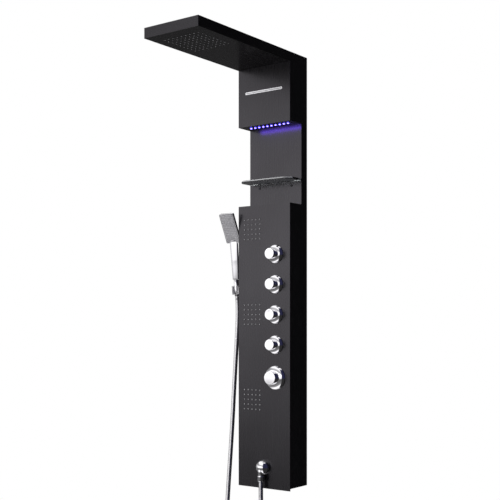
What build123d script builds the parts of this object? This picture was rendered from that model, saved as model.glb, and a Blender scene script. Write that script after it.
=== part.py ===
from build123d import *
import os
from math import atan2, degrees, radians, sin, cos, tan

os.makedirs("parts", exist_ok=True)

# Wall-mounted multi-function shower panel, millimetres.
# Frame: origin on the wall plane, at the centre of the four wall screws.
# +X to the right as seen by the user, +Y into the wall, +Z up.

# ---------------------------------------------------------------- driving dimensions
WIDTH = 200.0            # casing width
SHEET = 1.5              # casing sheet
PLATE = 2.0              # front plates
DEPTH = 92.0             # wall to the face of the front plates
SPINE = 31.0             # wall to the back of the niche
ORIGIN_H = 650.0         # height of the frame origin above the lower edge
LOWER_TOP = 882.0        # top of the lower box
UPPER_BOTTOM = 1132.0    # bottom of the upper box
ARM_UNDER = 1313.0       # underside of the overhead arm
ARM_TOP = 1343.0         # top of the overhead arm
ARM_REACH = 428.0        # arm length in front of the front plates
FLOOR_H = 7.0            # bottom cover, hidden behind the hanging front plate

RAIN_N, RAIN_PX, RAIN_PY = 9, 15.6, 16.2     # rain grid
RAIN_Y = -410.0                              # centre of the rain grid
JET_N, JET_P, JET_X = 5, 15.1, -45.0         # body jet grids
JET_H = (807.5, 540.5, 274.0)                # heights of the three groups
VALVE_X = 44.0
VALVE_H = (726.7, 633.5, 540.3, 447.1)       # the four function valves
MIXER_H = 345.2
OUTLET_X, OUTLET_H = 0.0, 65.0               # hose outlet
SLOT_H = 1236.0                              # waterfall slot
LED_Y, LED_P, LED_N = -62.5, 15.9, 10
SHELF_H, SHELF_T = 959.5, 6.0                # glass shelf mid height, thickness
SHELF_FRONT, SHELF_R = -98.0, 32.0
SCREW_H = (1075.0, 225.0)                    # wall screws
SCREW_X = 45.0
SCREW_R = 3.0

KNOB_R, KNOB_BASE_R, KNOB_FRONT = 17.2, 15.0, 32.0       # function knobs: cap, base, cap above the plate
MIX_KNOB_R, MIX_BASE_R, MIX_FRONT = 21.2, 20.6, 30.0     # mixer knob
FLANGE_R, MIX_FLANGE_R = 30.0, 38.0          # escutcheons
FLANGE_T = 12.0
SPINDLE_R = 3.94
SPINDLE_BORE = 4.0

SUPPLY_X, SUPPLY_Y, SUPPLY_H = 75.0, -43.0, 150.0   # hot and cold supplies
UNION_R, UNION_L = 10.48, 12.0               # G1/2 union ends

GRIP_X = -130.0                              # handset centre line
HOSE_R = 7.0

half = WIDTH / 2
inner = half - SHEET
front = -DEPTH
back_of_plate = front + PLATE
niche = -SPINE


def h(height):
    """Height above the lower edge, as Z in the part's frame."""
    return height - ORIGIN_H


pieces = {}

# ---------------------------------------------------------------- casing
side_outline = [
    (0, h(FLOOR_H)), (0, h(ARM_UNDER)), (back_of_plate, h(ARM_UNDER)), (back_of_plate, h(UPPER_BOTTOM)),
    (niche, h(UPPER_BOTTOM)), (niche, h(LOWER_TOP)), (back_of_plate, h(LOWER_TOP)), (back_of_plate, h(FLOOR_H)),
]
HOLDER_Y, HOLDER_H = -62.0, 620.0

with BuildPart() as side_panel_left:
    with BuildSketch(Plane.YZ.offset(-half)):
        with BuildLine():
            Polyline(*side_outline, close=True)
        make_face()
        with Locations((HOLDER_Y, h(HOLDER_H) - 9), (HOLDER_Y, h(HOLDER_H) + 9)):
            Circle(2.2, mode=Mode.SUBTRACT)
    extrude(amount=SHEET)
pieces["side_panel_left"] = side_panel_left

with BuildPart() as side_panel_right:
    with BuildSketch(Plane.YZ.offset(inner)):
        with BuildLine():
            Polyline(*side_outline, close=True)
        make_face()
    extrude(amount=SHEET)
pieces["side_panel_right"] = side_panel_right

with BuildPart() as niche_panel:
    with BuildSketch(Plane.XZ.offset(-niche)):
        with Locations((0, h((LOWER_TOP + UPPER_BOTTOM) / 2))):
            Rectangle(2 * inner, UPPER_BOTTOM - LOWER_TOP + 24)
        with Locations((0, h(SHELF_H))):
            Rectangle(142, SHELF_T + 1.2, mode=Mode.SUBTRACT)
        with Locations((-62, h(SHELF_H) - 16), (62, h(SHELF_H) - 16)):
            Circle(2.2, mode=Mode.SUBTRACT)
    extrude(amount=-SHEET)
pieces["niche_panel"] = niche_panel

arm_front = front - ARM_REACH
with BuildPart() as arm_casing:
    with Locations((0, arm_front / 2, h((ARM_UNDER + ARM_TOP) / 2))):
        Box(WIDTH, -arm_front, ARM_TOP - ARM_UNDER)
    fillet(arm_casing.edges().filter_by(Axis.Z).group_by(Axis.Y)[0], radius=1.4)
    fillet(arm_casing.faces().sort_by(Axis.Z)[-1].outer_wire().edges().filter_by(lambda e: e.center().Y < -1), radius=0.9)
    with Locations((0, (arm_front + SHEET) / 2, h(ARM_UNDER) + (ARM_TOP - ARM_UNDER - SHEET) / 2)):
        Box(2 * inner, -arm_front - SHEET, ARM_TOP - ARM_UNDER - SHEET, mode=Mode.SUBTRACT)
pieces["arm_casing"] = arm_casing

rain_back = back_of_plate + 2.0
with BuildPart() as rain_plate:
    with BuildSketch(Plane.XY.offset(h(ARM_UNDER))):
        with Locations((0, (arm_front + SHEET + rain_back) / 2)):
            Rectangle(2 * inner, rain_back - arm_front - SHEET)
        with Locations((0, RAIN_Y)):
            with GridLocations(RAIN_PX, RAIN_PY, RAIN_N, RAIN_N):
                Circle(2.1, mode=Mode.SUBTRACT)
    extrude(amount=SHEET)
pieces["rain_plate"] = rain_plate

with BuildPart() as upper_front_plate:
    with BuildSketch(Plane.XZ.offset(-back_of_plate)):
        with Locations((0, h((UPPER_BOTTOM + ARM_UNDER) / 2))):
            Rectangle(WIDTH, ARM_UNDER - UPPER_BOTTOM)
    extrude(amount=PLATE)
    fillet(upper_front_plate.edges().filter_by(Axis.Z).group_by(Axis.Y)[0], radius=1.2)
    with BuildSketch(Plane.XY.offset(h(UPPER_BOTTOM))):
        with Locations((0, (niche + back_of_plate) / 2)):
            Rectangle(2 * inner, niche - back_of_plate)
    extrude(amount=SHEET)
    with BuildSketch(Plane.XZ.offset(-back_of_plate - 1)):
        with Locations((0, h(SLOT_H))):
            SlotOverall(140, 6)
    extrude(amount=PLATE + 2, mode=Mode.SUBTRACT)
    with BuildSketch(Plane.XY.offset(h(UPPER_BOTTOM) - 1)):
        with Locations((0, LED_Y)):
            SlotOverall(162, 9)
    extrude(amount=SHEET + 2, mode=Mode.SUBTRACT)
pieces["upper_front_plate"] = upper_front_plate

with BuildPart() as lower_front_plate:
    with BuildSketch(Plane.XZ.offset(-back_of_plate)):
        with Locations((0, h(LOWER_TOP / 2))):
            Rectangle(WIDTH, LOWER_TOP)
    extrude(amount=PLATE)
    fillet(lower_front_plate.edges().filter_by(Axis.Z).group_by(Axis.Y)[0], radius=1.2)
    with BuildSketch(Plane.XY.offset(h(LOWER_TOP) - SHEET)):
        with Locations((0, (niche + back_of_plate) / 2)):
            Rectangle(2 * inner, niche - back_of_plate)
    extrude(amount=SHEET)
    with BuildSketch(Plane.XZ.offset(-back_of_plate - 1)):
        for height in JET_H:
            with Locations((JET_X, h(height))):
                with GridLocations(JET_P, JET_P, JET_N, JET_N):
                    Circle(2.3)
        with Locations(*[(VALVE_X, h(v)) for v in VALVE_H]):
            Circle(12.5)
        with Locations((VALVE_X, h(MIXER_H))):
            Circle(18.5)
        with Locations((OUTLET_X, h(OUTLET_H))):
            Circle(10.6)
    extrude(amount=PLATE + 2, mode=Mode.SUBTRACT)
pieces["lower_front_plate"] = lower_front_plate

with BuildPart() as bottom_cover:
    with BuildSketch(Plane.XY.offset(h(FLOOR_H))):
        with Locations((0, (back_of_plate - 2) / 2)):
            Rectangle(2 * inner, -back_of_plate - 2)
    extrude(amount=SHEET)
pieces["bottom_cover"] = bottom_cover

# ---------------------------------------------------------------- wall hanging
def bracket_profile(height):
    return [(y, h(height) + z) for y, z in
            ((0, -25), (0, 25), (-7, 25), (-7, 35), (-9, 35), (-9, 23), (-2, 23), (-2, -25))]


def rail_profile(height):
    return [(y, h(height) + z) for y, z in
            ((-16, 5), (-16, 37), (-3, 37), (-3, 26), (-5, 26), (-5, 35), (-14, 35), (-14, 5))]


with BuildPart() as wall_brackets:
    for height in SCREW_H:
        with BuildSketch(Plane.YZ.offset(-60)):
            with BuildLine():
                Polyline(*bracket_profile(height), close=True)
            make_face()
        extrude(amount=120)
    with BuildSketch(Plane.XZ.offset(-1)):
        with Locations(*[(x, h(height)) for height in SCREW_H for x in (-SCREW_X, SCREW_X)]):
            Circle(SCREW_R)
    extrude(amount=5, mode=Mode.SUBTRACT)
pieces["wall_brackets"] = wall_brackets

with BuildPart() as hanger_rails:
    for height in SCREW_H:
        with BuildSketch(Plane.YZ.offset(-inner)):
            with BuildLine():
                Polyline(*rail_profile(height), close=True)
            make_face()
        extrude(amount=2 * inner)
pieces["hanger_rails"] = hanger_rails

# ---------------------------------------------------------------- rain head
z_mat = h(ARM_UNDER) + SHEET
MAT_T = 2.0
rain_w = RAIN_PX * 8 + 16
rain_l = RAIN_PY * 8 + 16
with BuildPart() as rain_nozzle_mat:
    with BuildSketch(Plane.XY.offset(z_mat)):
        with Locations((0, RAIN_Y)):
            RectangleRounded(rain_w, rain_l, 6)
    extrude(amount=MAT_T)
    with BuildSketch(Plane.XY.offset(z_mat)):
        with Locations((0, RAIN_Y)):
            with GridLocations(RAIN_PX, RAIN_PY, RAIN_N, RAIN_N):
                Circle(1.8)
    extrude(amount=-(SHEET + 1.2))
    with BuildSketch(Plane.XY.offset(z_mat + MAT_T)):
        with Locations((0, RAIN_Y)):
            with GridLocations(RAIN_PX, RAIN_PY, RAIN_N, RAIN_N):
                Circle(0.7)
    extrude(amount=-(SHEET + MAT_T + 1.2), mode=Mode.SUBTRACT)
pieces["rain_nozzle_mat"] = rain_nozzle_mat

z_box = z_mat + MAT_T
BOX_H = 19.0
PIPE_R, PIPE_BORE = 5.0, 3.8
RAIN_PIPE_X = 48.0
rain_rear = RAIN_Y + rain_l / 2
with BuildPart() as rain_chamber:
    with BuildSketch(Plane.XY.offset(z_box)):
        with Locations((0, RAIN_Y)):
            RectangleRounded(rain_w, rain_l, 6)
    extrude(amount=BOX_H)
    with BuildSketch(Plane.XY.offset(z_box)):
        with Locations((0, RAIN_Y)):
            RectangleRounded(rain_w - 5, rain_l - 5, 4)
    extrude(amount=BOX_H - 2.5, mode=Mode.SUBTRACT)
    with BuildSketch(Plane.XZ.offset(-rain_rear + 1.5)):
        with Locations((RAIN_PIPE_X, z_box + 8.5)):
            Circle(7)
    extrude(amount=-14)
    with BuildSketch(Plane.XZ.offset(-rain_rear + 4)):
        with Locations((RAIN_PIPE_X, z_box + 8.5)):
            Circle(PIPE_BORE)
    extrude(amount=-20, mode=Mode.SUBTRACT)
pieces["rain_chamber"] = rain_chamber
rain_port = (RAIN_PIPE_X, rain_rear + 12.5, z_box + 8.5)

# ---------------------------------------------------------------- waterfall
with BuildPart() as waterfall_lip:
    with BuildSketch(Plane.XZ.offset(-front)):
        with Locations((0, h(SLOT_H))):
            SlotOverall(143, 7.6)
    extrude(amount=1.2)
    with BuildSketch(Plane.XZ.offset(-front)):
        with Locations((0, h(SLOT_H))):
            SlotOverall(139.6, 5.4)
    extrude(amount=-12)
    with BuildSketch(Plane.XZ.offset(-front + 2)):
        with Locations((0, h(SLOT_H))):
            SlotOverall(136, 1.4)
    extrude(amount=-16, mode=Mode.SUBTRACT)
pieces["waterfall_lip"] = waterfall_lip

fall_front = back_of_plate + 1.0
with BuildPart() as waterfall_chamber:
    with Locations((0, fall_front + 14, h(SLOT_H))):
        Box(156, 28, 30)
    fillet(waterfall_chamber.edges().filter_by(Axis.Y), radius=4)
    with Locations((0, fall_front + 14, h(SLOT_H))):
        Box(150, 22, 24, mode=Mode.SUBTRACT)
    with BuildSketch(Plane.XZ.offset(-fall_front + 1)):
        with Locations((0, h(SLOT_H))):
            SlotOverall(140, 6)
    extrude(amount=-8, mode=Mode.SUBTRACT)
    with BuildSketch(Plane.XZ.offset(-(fall_front + 26))):
        with Locations((-50, h(SLOT_H))):
            Circle(7)
    extrude(amount=-12)
    with BuildSketch(Plane.XZ.offset(-(fall_front + 20))):
        with Locations((-50, h(SLOT_H))):
            Circle(PIPE_BORE)
    extrude(amount=-20, mode=Mode.SUBTRACT)
pieces["waterfall_chamber"] = waterfall_chamber
fall_port = (-50.0, fall_front + 38, h(SLOT_H))

# ---------------------------------------------------------------- light strip
z_led = h(UPPER_BOTTOM)
with BuildPart() as led_holder:
    with BuildSketch(Plane.XY.offset(z_led + 0.2)):
        with Locations((0, LED_Y)):
            SlotOverall(161.4, 8.4)
    extrude(amount=SHEET - 0.2)
    with BuildSketch(Plane.XY.offset(z_led + SHEET)):
        with Locations((0, LED_Y)):
            SlotOverall(170, 14)
    extrude(amount=3)
    with BuildSketch(Plane.XY.offset(z_led - 1)):
        with Locations((0, LED_Y)):
            with GridLocations(LED_P, 1, LED_N, 1):
                Circle(3.1)
    extrude(amount=8, mode=Mode.SUBTRACT)
pieces["led_holder"] = led_holder

with BuildPart() as led_lenses:
    with Locations((0, LED_Y, z_led)):
        with GridLocations(LED_P, 1, LED_N, 1):
            with Locations((0, 0, -1.8)):
                Cylinder(3.0, 6.2, align=(Align.CENTER, Align.CENTER, Align.MIN))
    fillet(led_lenses.edges().filter_by(GeomType.CIRCLE).group_by(Axis.Z)[0], radius=2.0)
pieces["led_lenses"] = led_lenses

with BuildPart() as led_board:
    with BuildSketch(Plane.XY.offset(z_led + SHEET + 3)):
        with Locations((0, LED_Y)):
            SlotOverall(168, 12)
    extrude(amount=1.6)
pieces["led_board"] = led_board

TURBINE_X, TURBINE_Y, TURBINE_H = 80.0, -22.0, 1195.0
turbine_plane = Plane(origin=(TURBINE_X, 0, h(TURBINE_H)), x_dir=(1, 0, 0), z_dir=(0, -1, 0))
with BuildPart() as turbine_housing:
    with BuildSketch(turbine_plane.offset(8)):
        Circle(16)
    extrude(amount=24)
    with BuildSketch(turbine_plane.offset(12)):
        Circle(13)
    extrude(amount=20, mode=Mode.SUBTRACT)
    with BuildSketch(turbine_plane.offset(9.5)):
        Circle(1.56)
    extrude(amount=4, mode=Mode.SUBTRACT)
    with BuildSketch(Plane.XY.offset(h(TURBINE_H) - 22)):
        with Locations((TURBINE_X, TURBINE_Y)):
            Circle(6.6)
    extrude(amount=9)
    with BuildSketch(Plane.XY.offset(h(TURBINE_H) + 22)):
        with Locations((TURBINE_X, TURBINE_Y)):
            Circle(6.6)
    extrude(amount=-9)
    with BuildSketch(Plane.XY.offset(h(TURBINE_H) - 23)):
        with Locations((TURBINE_X + 5, TURBINE_Y)):
            Circle(1.5)
    extrude(amount=46, mode=Mode.SUBTRACT)
    with BuildSketch(turbine_plane.offset(12)):
        Circle(13)
    extrude(amount=20, mode=Mode.SUBTRACT)
pieces["turbine_housing"] = turbine_housing

with BuildPart() as turbine_cap:
    with BuildSketch(turbine_plane.offset(32)):
        Circle(16)
    extrude(amount=5)
    with BuildSketch(turbine_plane.offset(31)):
        Circle(1.56)
    extrude(amount=3.5, mode=Mode.SUBTRACT)
    fillet(turbine_cap.edges().filter_by(GeomType.CIRCLE).group_by(Axis.Y)[0], radius=1.5)
pieces["turbine_cap"] = turbine_cap

with BuildPart() as turbine_rotor:
    with BuildSketch(turbine_plane.offset(13)):
        Circle(4)
        with PolarLocations(7.5, 8):
            Rectangle(9, 1.2)
    extrude(amount=18)
    with BuildSketch(turbine_plane.offset(9.9)):
        Circle(1.5)
    extrude(amount=24)
pieces["turbine_rotor"] = turbine_rotor

# ---------------------------------------------------------------- glass shelf
glass_back = niche - 0.5
with BuildPart() as glass_shelf:
    with BuildSketch(Plane.XY.offset(h(SHELF_H) - SHELF_T / 2)):
        with BuildLine():
            Polyline((-99.4, glass_back), (-99.4, SHELF_FRONT), (99.4, SHELF_FRONT), (99.4, glass_back),
                     (70, glass_back), (70, -12), (-70, -12), (-70, glass_back), close=True)
        make_face()
    extrude(amount=SHELF_T)
    fillet(glass_shelf.edges().filter_by(Axis.Z).group_by(Axis.Y)[0], radius=SHELF_R)
    chamfer(glass_shelf.faces().sort_by(Axis.Z)[-1].edges().filter_by(lambda e: e.center().Y < glass_back - 1), length=0.5)
    chamfer(glass_shelf.faces().sort_by(Axis.Z)[0].edges().filter_by(lambda e: e.center().Y < glass_back - 1), length=0.5)
pieces["glass_shelf"] = glass_shelf

with BuildPart() as shelf_carrier:
    with BuildSketch(Plane.YZ.offset(-71)):
        with BuildLine():
            z_mid = h(SHELF_H)
            Polyline((niche + SHEET, z_mid - 24), (niche + SHEET, z_mid - 5), (-11, z_mid - 5), (-11, z_mid + 5),
                     (niche + SHEET, z_mid + 5), (niche + SHEET, z_mid + 7), (-9, z_mid + 7), (-9, z_mid - 7),
                     (niche + SHEET + 2, z_mid - 7), (niche + SHEET + 2, z_mid - 24), close=True)
        make_face()
    extrude(amount=142)
    with BuildSketch(Plane.XZ.offset(0)):
        with Locations((-62, h(SHELF_H) - 16), (62, h(SHELF_H) - 16)):
            Circle(2.1)
    extrude(amount=40, mode=Mode.SUBTRACT)
pieces["shelf_carrier"] = shelf_carrier

with BuildPart() as shelf_gasket:
    for side in (-1, 1):
        with Locations((0, (niche + SHEET - 11) / 2, h(SHELF_H) + side * (SHELF_T / 2 + 1))):
            Box(140, -11 - niche - SHEET, 2)
pieces["shelf_gasket"] = shelf_gasket

with BuildPart() as shelf_screws:
    for x in (-62, 62):
        with BuildSketch(Plane.XZ.offset(-niche)):
            with Locations((x, h(SHELF_H) - 16)):
                Circle(3.6)
        extrude(amount=1.8)
        with BuildSketch(Plane.XZ.offset(-niche)):
            with Locations((x, h(SHELF_H) - 16)):
                Circle(2.0)
        extrude(amount=-8)
pieces["shelf_screws"] = shelf_screws

# ---------------------------------------------------------------- body jets
with BuildPart() as jet_nozzle_mats:
    with BuildSketch(Plane.XZ.offset(-back_of_plate)):
        for height in JET_H:
            with Locations((JET_X, h(height))):
                RectangleRounded(78, 78, 6)
    extrude(amount=-MAT_T)
    with BuildSketch(Plane.XZ.offset(-back_of_plate)):
        for height in JET_H:
            with Locations((JET_X, h(height))):
                with GridLocations(JET_P, JET_P, JET_N, JET_N):
                    Circle(2.0)
    extrude(amount=PLATE + 1.2)
    with BuildSketch(Plane.XZ.offset(-back_of_plate - PLATE - 2)):
        for height in JET_H:
            with Locations((JET_X, h(height))):
                with GridLocations(JET_P, JET_P, JET_N, JET_N):
                    Circle(0.8)
    extrude(amount=-(PLATE + MAT_T + 3), mode=Mode.SUBTRACT)
pieces["jet_nozzle_mats"] = jet_nozzle_mats

jet_front = back_of_plate + MAT_T
JET_BOX = 16.0
JET_PIPE_Y = jet_front + 8.5
with BuildPart() as jet_chambers:
    for height in JET_H:
        with BuildSketch(Plane.XZ.offset(-jet_front)):
            with Locations((JET_X, h(height))):
                RectangleRounded(78, 78, 6)
        extrude(amount=-JET_BOX)
        with BuildSketch(Plane.XZ.offset(-jet_front)):
            with Locations((JET_X, h(height))):
                RectangleRounded(73, 73, 4)
        extrude(amount=-(JET_BOX - 2.5), mode=Mode.SUBTRACT)
    for low, high in ((JET_H[1], JET_H[0]), (JET_H[2], JET_H[1])):
        for z0, z1 in ((h(low) + 38, h(low) + 50), (h(high) - 50, h(high) - 38)):
            with BuildSketch(Plane.XY.offset(z0)):
                with Locations((JET_X, JET_PIPE_Y)):
                    Circle(6.5)
            extrude(amount=z1 - z0)
        for z0, z1 in ((h(low) + 35, h(low) + 51), (h(high) - 51, h(high) - 35)):
            with BuildSketch(Plane.XY.offset(z0)):
                with Locations((JET_X, JET_PIPE_Y)):
                    Circle(PIPE_BORE)
            extrude(amount=z1 - z0, mode=Mode.SUBTRACT)
    with BuildSketch(Plane.YZ.offset(JET_X + 38)):
        with Locations((JET_PIPE_Y, h(JET_H[1]))):
            Circle(6.5)
    extrude(amount=12)
    with BuildSketch(Plane.YZ.offset(JET_X + 35)):
        with Locations((JET_PIPE_Y, h(JET_H[1]))):
            Circle(PIPE_BORE)
    extrude(amount=16, mode=Mode.SUBTRACT)
pieces["jet_chambers"] = jet_chambers

with BuildPart() as jet_link_pipes:
    for low, high in ((JET_H[1], JET_H[0]), (JET_H[2], JET_H[1])):
        with BuildSketch(Plane.XY.offset(h(low) + 50)):
            with Locations((JET_X, JET_PIPE_Y)):
                Circle(PIPE_R)
                Circle(PIPE_BORE, mode=Mode.SUBTRACT)
        extrude(amount=high - low - 100)
pieces["jet_link_pipes"] = jet_link_pipes

# ---------------------------------------------------------------- valve manifold
VALVE_Y = -58.0
BOSS_Y = -76.0
SEAT_Y = -62.0
with BuildPart() as valve_manifold:
    with Locations((VALVE_X, VALVE_Y, h((VALVE_H[3] + VALVE_H[0]) / 2 - 25))):
        Box(28, 28, VALVE_H[0] - VALVE_H[3] + 110)
    fillet(valve_manifold.edges().filter_by(Axis.Z), radius=5)
    with BuildSketch(Plane.XZ.offset(-SEAT_Y)):
        with Locations(*[(VALVE_X, h(v)) for v in VALVE_H]):
            Circle(16)
    extrude(amount=SEAT_Y - BOSS_Y)
    with BuildSketch(Plane.XZ.offset(-SEAT_Y - 4)):
        with Locations((VALVE_X, h(MIXER_H))):
            Circle(24)
    extrude(amount=-28)
    with BuildSketch(Plane.XZ.offset(-SEAT_Y)):
        with Locations((VALVE_X, h(MIXER_H))):
            Circle(24)
    extrude(amount=SEAT_Y - BOSS_Y)
    # outlet spigots
    for height in (VALVE_H[1], VALVE_H[2], VALVE_H[3]):
        with BuildSketch(Plane.YZ.offset(VALVE_X - 26)):
            with Locations((VALVE_Y, h(height))):
                Circle(6.5)
        extrude(amount=14)
    with BuildSketch(Plane.XY.offset(h(VALVE_H[0]) + 18)):
        with Locations((VALVE_X, VALVE_Y)):
            Circle(6.5)
    extrude(amount=26)
    # supply spigots under the mixer body
    for x in (VALVE_X - 12, VALVE_X + 12):
        with BuildSketch(Plane.XY.offset(h(MIXER_H) - 34)):
            with Locations((x, SUPPLY_Y)):
                Circle(8)
        extrude(amount=20)
    # cartridge seats, then the waterways
    with BuildSketch(Plane.XZ.offset(-BOSS_Y)):
        with Locations(*[(VALVE_X, h(v)) for v in VALVE_H]):
            Circle(12)
    extrude(amount=-14, mode=Mode.SUBTRACT)
    with BuildSketch(Plane.XZ.offset(-BOSS_Y)):
        with Locations((VALVE_X, h(MIXER_H))):
            Circle(18)
    extrude(amount=-20, mode=Mode.SUBTRACT)
    with BuildSketch(Plane.XY.offset(h(MIXER_H))):
        with Locations((VALVE_X, VALVE_Y)):
            Circle(5)
    extrude(amount=VALVE_H[0] - MIXER_H + 50, mode=Mode.SUBTRACT)
    for height in (VALVE_H[1], VALVE_H[2], VALVE_H[3]):
        with BuildSketch(Plane.YZ.offset(VALVE_X - 28)):
            with Locations((VALVE_Y, h(height))):
                Circle(PIPE_BORE)
        extrude(amount=24, mode=Mode.SUBTRACT)
    for x in (VALVE_X - 12, VALVE_X + 12):
        with BuildSketch(Plane.XY.offset(h(MIXER_H) - 36)):
            with Locations((x, SUPPLY_Y)):
                Circle(5)
        extrude(amount=36, mode=Mode.SUBTRACT)
pieces["valve_manifold"] = valve_manifold

with BuildPart() as valve_cartridges:
    with BuildSketch(Plane.XZ.offset(-SEAT_Y)):
        with Locations(*[(VALVE_X, h(v)) for v in VALVE_H]):
            Circle(11.95)
    extrude(amount=SEAT_Y - front + 6)
    with BuildSketch(Plane.XZ.offset(-(front - 7))):
        with Locations(*[(VALVE_X, h(v)) for v in VALVE_H]):
            Circle(SPINDLE_BORE)
    extrude(amount=-34, mode=Mode.SUBTRACT)
pieces["valve_cartridges"] = valve_cartridges

with BuildPart() as mixer_cartridge:
    with BuildSketch(Plane.XZ.offset(-(BOSS_Y + 20))):
        with Locations((VALVE_X, h(MIXER_H))):
            Circle(17.95)
    extrude(amount=BOSS_Y + 20 - front + 6)
    with BuildSketch(Plane.XZ.offset(-(front - 7))):
        with Locations((VALVE_X, h(MIXER_H))):
            Circle(SPINDLE_BORE)
    extrude(amount=-34, mode=Mode.SUBTRACT)
pieces["mixer_cartridge"] = mixer_cartridge

with BuildPart() as cartridge_nuts:
    with BuildSketch(Plane.XZ.offset(-front)):
        with Locations(*[(VALVE_X, h(v)) for v in VALVE_H]):
            RegularPolygon(17.5, 6)
            Circle(12.0, mode=Mode.SUBTRACT)
        with Locations((VALVE_X, h(MIXER_H))):
            RegularPolygon(25, 6)
            Circle(18.0, mode=Mode.SUBTRACT)
    extrude(amount=4)
pieces["cartridge_nuts"] = cartridge_nuts

escutcheon_front = front - FLANGE_T

# half sections of the domed escutcheons: radius, height above the front plate
valve_dome = [(FLANGE_R, 0), (FLANGE_R, 0.8), (29.6, 2.2), (28.9, 3.6), (27.9, 5.1), (26.6, 6.6), (25.0, 7.95),
              (23.0, 9.15), (21.0, 10.0), (18.0, 10.9), (14.0, 11.6), (11.2, FLANGE_T), (11.2, 9.9), (14.0, 9.5),
              (18.0, 8.8), (21.0, 7.9), (23.5, 6.6), (25.6, 4.8), (26.8, 2.6), (27.4, 0)]
mixer_dome = [(MIX_FLANGE_R, 0), (MIX_FLANGE_R, 0.8), (37.6, 2.2), (36.9, 3.6), (35.9, 5.1), (34.6, 6.6), (33.0, 7.95),
              (31.0, 9.1), (28.5, 10.2), (25.0, 11.3), (21.5, FLANGE_T), (18.4, FLANGE_T), (18.4, 9.9), (21.5, 9.9),
              (25.0, 9.2), (28.5, 8.1), (31.3, 6.6), (33.4, 4.8), (34.8, 2.6), (35.4, 0)]

with BuildPart() as valve_escutcheons:
    for v in VALVE_H:
        with BuildSketch(Plane.YZ.offset(VALVE_X)):
            with BuildLine():
                Polyline(*[(front - d, h(v) + r) for r, d in valve_dome], close=True)
            make_face()
        revolve(axis=Axis((VALVE_X, 0, h(v)), (0, 1, 0)), revolution_arc=360)
pieces["valve_escutcheons"] = valve_escutcheons

with BuildPart() as mixer_escutcheon:
    with BuildSketch(Plane.YZ.offset(VALVE_X)):
        with BuildLine():
            Polyline(*[(front - d, h(MIXER_H) + r) for r, d in mixer_dome], close=True)
        make_face()
    revolve(axis=Axis((VALVE_X, 0, h(MIXER_H)), (0, 1, 0)), revolution_arc=360)
pieces["mixer_escutcheon"] = mixer_escutcheon

knob_back = escutcheon_front - 0.5
spindle_back = SEAT_Y - 5.0

# the five knobs, top to bottom, each pressed on its own spindle: cap radius, base radius, cap above the plate
function_knob = (KNOB_R, KNOB_BASE_R, KNOB_FRONT)
knobs = [
    ("waterfall", VALVE_H[0], function_knob), ("rain", VALVE_H[1], function_knob),
    ("body_jet", VALVE_H[2], function_knob), ("handset", VALVE_H[3], function_knob),
    ("mixer", MIXER_H, (MIX_KNOB_R, MIX_BASE_R, MIX_FRONT)),
]
for name, height, (radius, base, reach) in knobs:
    knob_front = front - reach
    with BuildPart() as knob:
        with BuildSketch(Plane.YZ.offset(VALVE_X)):
            with BuildLine():
                Polyline((knob_back, h(height)), (knob_back, h(height) + base), (knob_front, h(height) + radius),
                         (knob_front, h(height)), close=True)
            make_face()
        revolve(axis=Axis((VALVE_X, 0, h(height)), (0, 1, 0)), revolution_arc=360)
        fillet(knob.edges().filter_by(GeomType.CIRCLE).group_by(Axis.Y)[0], radius=1.4)
        with BuildSketch(Plane.XZ.offset(-knob_back)):
            with Locations((VALVE_X, h(height))):
                Circle(SPINDLE_BORE)
        extrude(amount=14, mode=Mode.SUBTRACT)
        # engraved index line on the cap
        with BuildSketch(Plane.XZ.offset(-knob_front)):
            with Locations((VALVE_X, h(height) + radius - 6.5)):
                SlotOverall(5, 1.2, rotation=90)
        extrude(amount=-0.5, mode=Mode.SUBTRACT)
    pieces[name + "_knob"] = knob
    with BuildPart() as spindle:
        with BuildSketch(Plane.XZ.offset(-spindle_back)):
            with Locations((VALVE_X, h(height))):
                Circle(SPINDLE_R)
        extrude(amount=spindle_back - knob_back + 14)
    pieces[name + "_spindle"] = spindle

# ---------------------------------------------------------------- pipes inside the casing
pipes = {
    "rain_feed_pipe_lower": ([(VALVE_X, VALVE_Y, h(VALVE_H[0]) + 44), (VALVE_X, VALVE_Y, h(VALVE_H[0]) + 72),
                              (TURBINE_X, TURBINE_Y, h(VALVE_H[0]) + 128), (TURBINE_X, TURBINE_Y, h(TURBINE_H) - 22)],
                             [22, 30]),
    "rain_feed_pipe_upper": ([(TURBINE_X, TURBINE_Y, h(TURBINE_H) + 22), (TURBINE_X, TURBINE_Y, rain_port[2]),
                              (TURBINE_X, -120, rain_port[2]), (RAIN_PIPE_X, -200, rain_port[2]), rain_port],
                             [30, 60, 60]),
    "waterfall_feed_pipe": ([(VALVE_X - 26, VALVE_Y, h(VALVE_H[1])), (-3, VALVE_Y, h(VALVE_H[1])),
                             (-3, VALVE_Y, h(VALVE_H[1]) + 70), (-80, -22, h(VALVE_H[1]) + 230),
                             (-80, -22, h(SLOT_H) - 50), (fall_port[0], -22, h(SLOT_H)), fall_port],
                            [20, 40, 60, 20, 14]),
    "body_jet_feed_pipe": ([(VALVE_X - 26, VALVE_Y, h(VALVE_H[2])), (11.5, VALVE_Y, h(VALVE_H[2])),
                            (11.5, JET_PIPE_Y, h(VALVE_H[2])), (JET_X + 50, JET_PIPE_Y, h(VALVE_H[2]))],
                           [6, 6]),
    "handset_feed_pipe": ([(VALVE_X - 26, VALVE_Y, h(VALVE_H[3])), (OUTLET_X, VALVE_Y, h(VALVE_H[3])),
                           (OUTLET_X, VALVE_Y, h(OUTLET_H)), (OUTLET_X, VALVE_Y - 14, h(OUTLET_H))],
                          [16, 8]),
}
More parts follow.
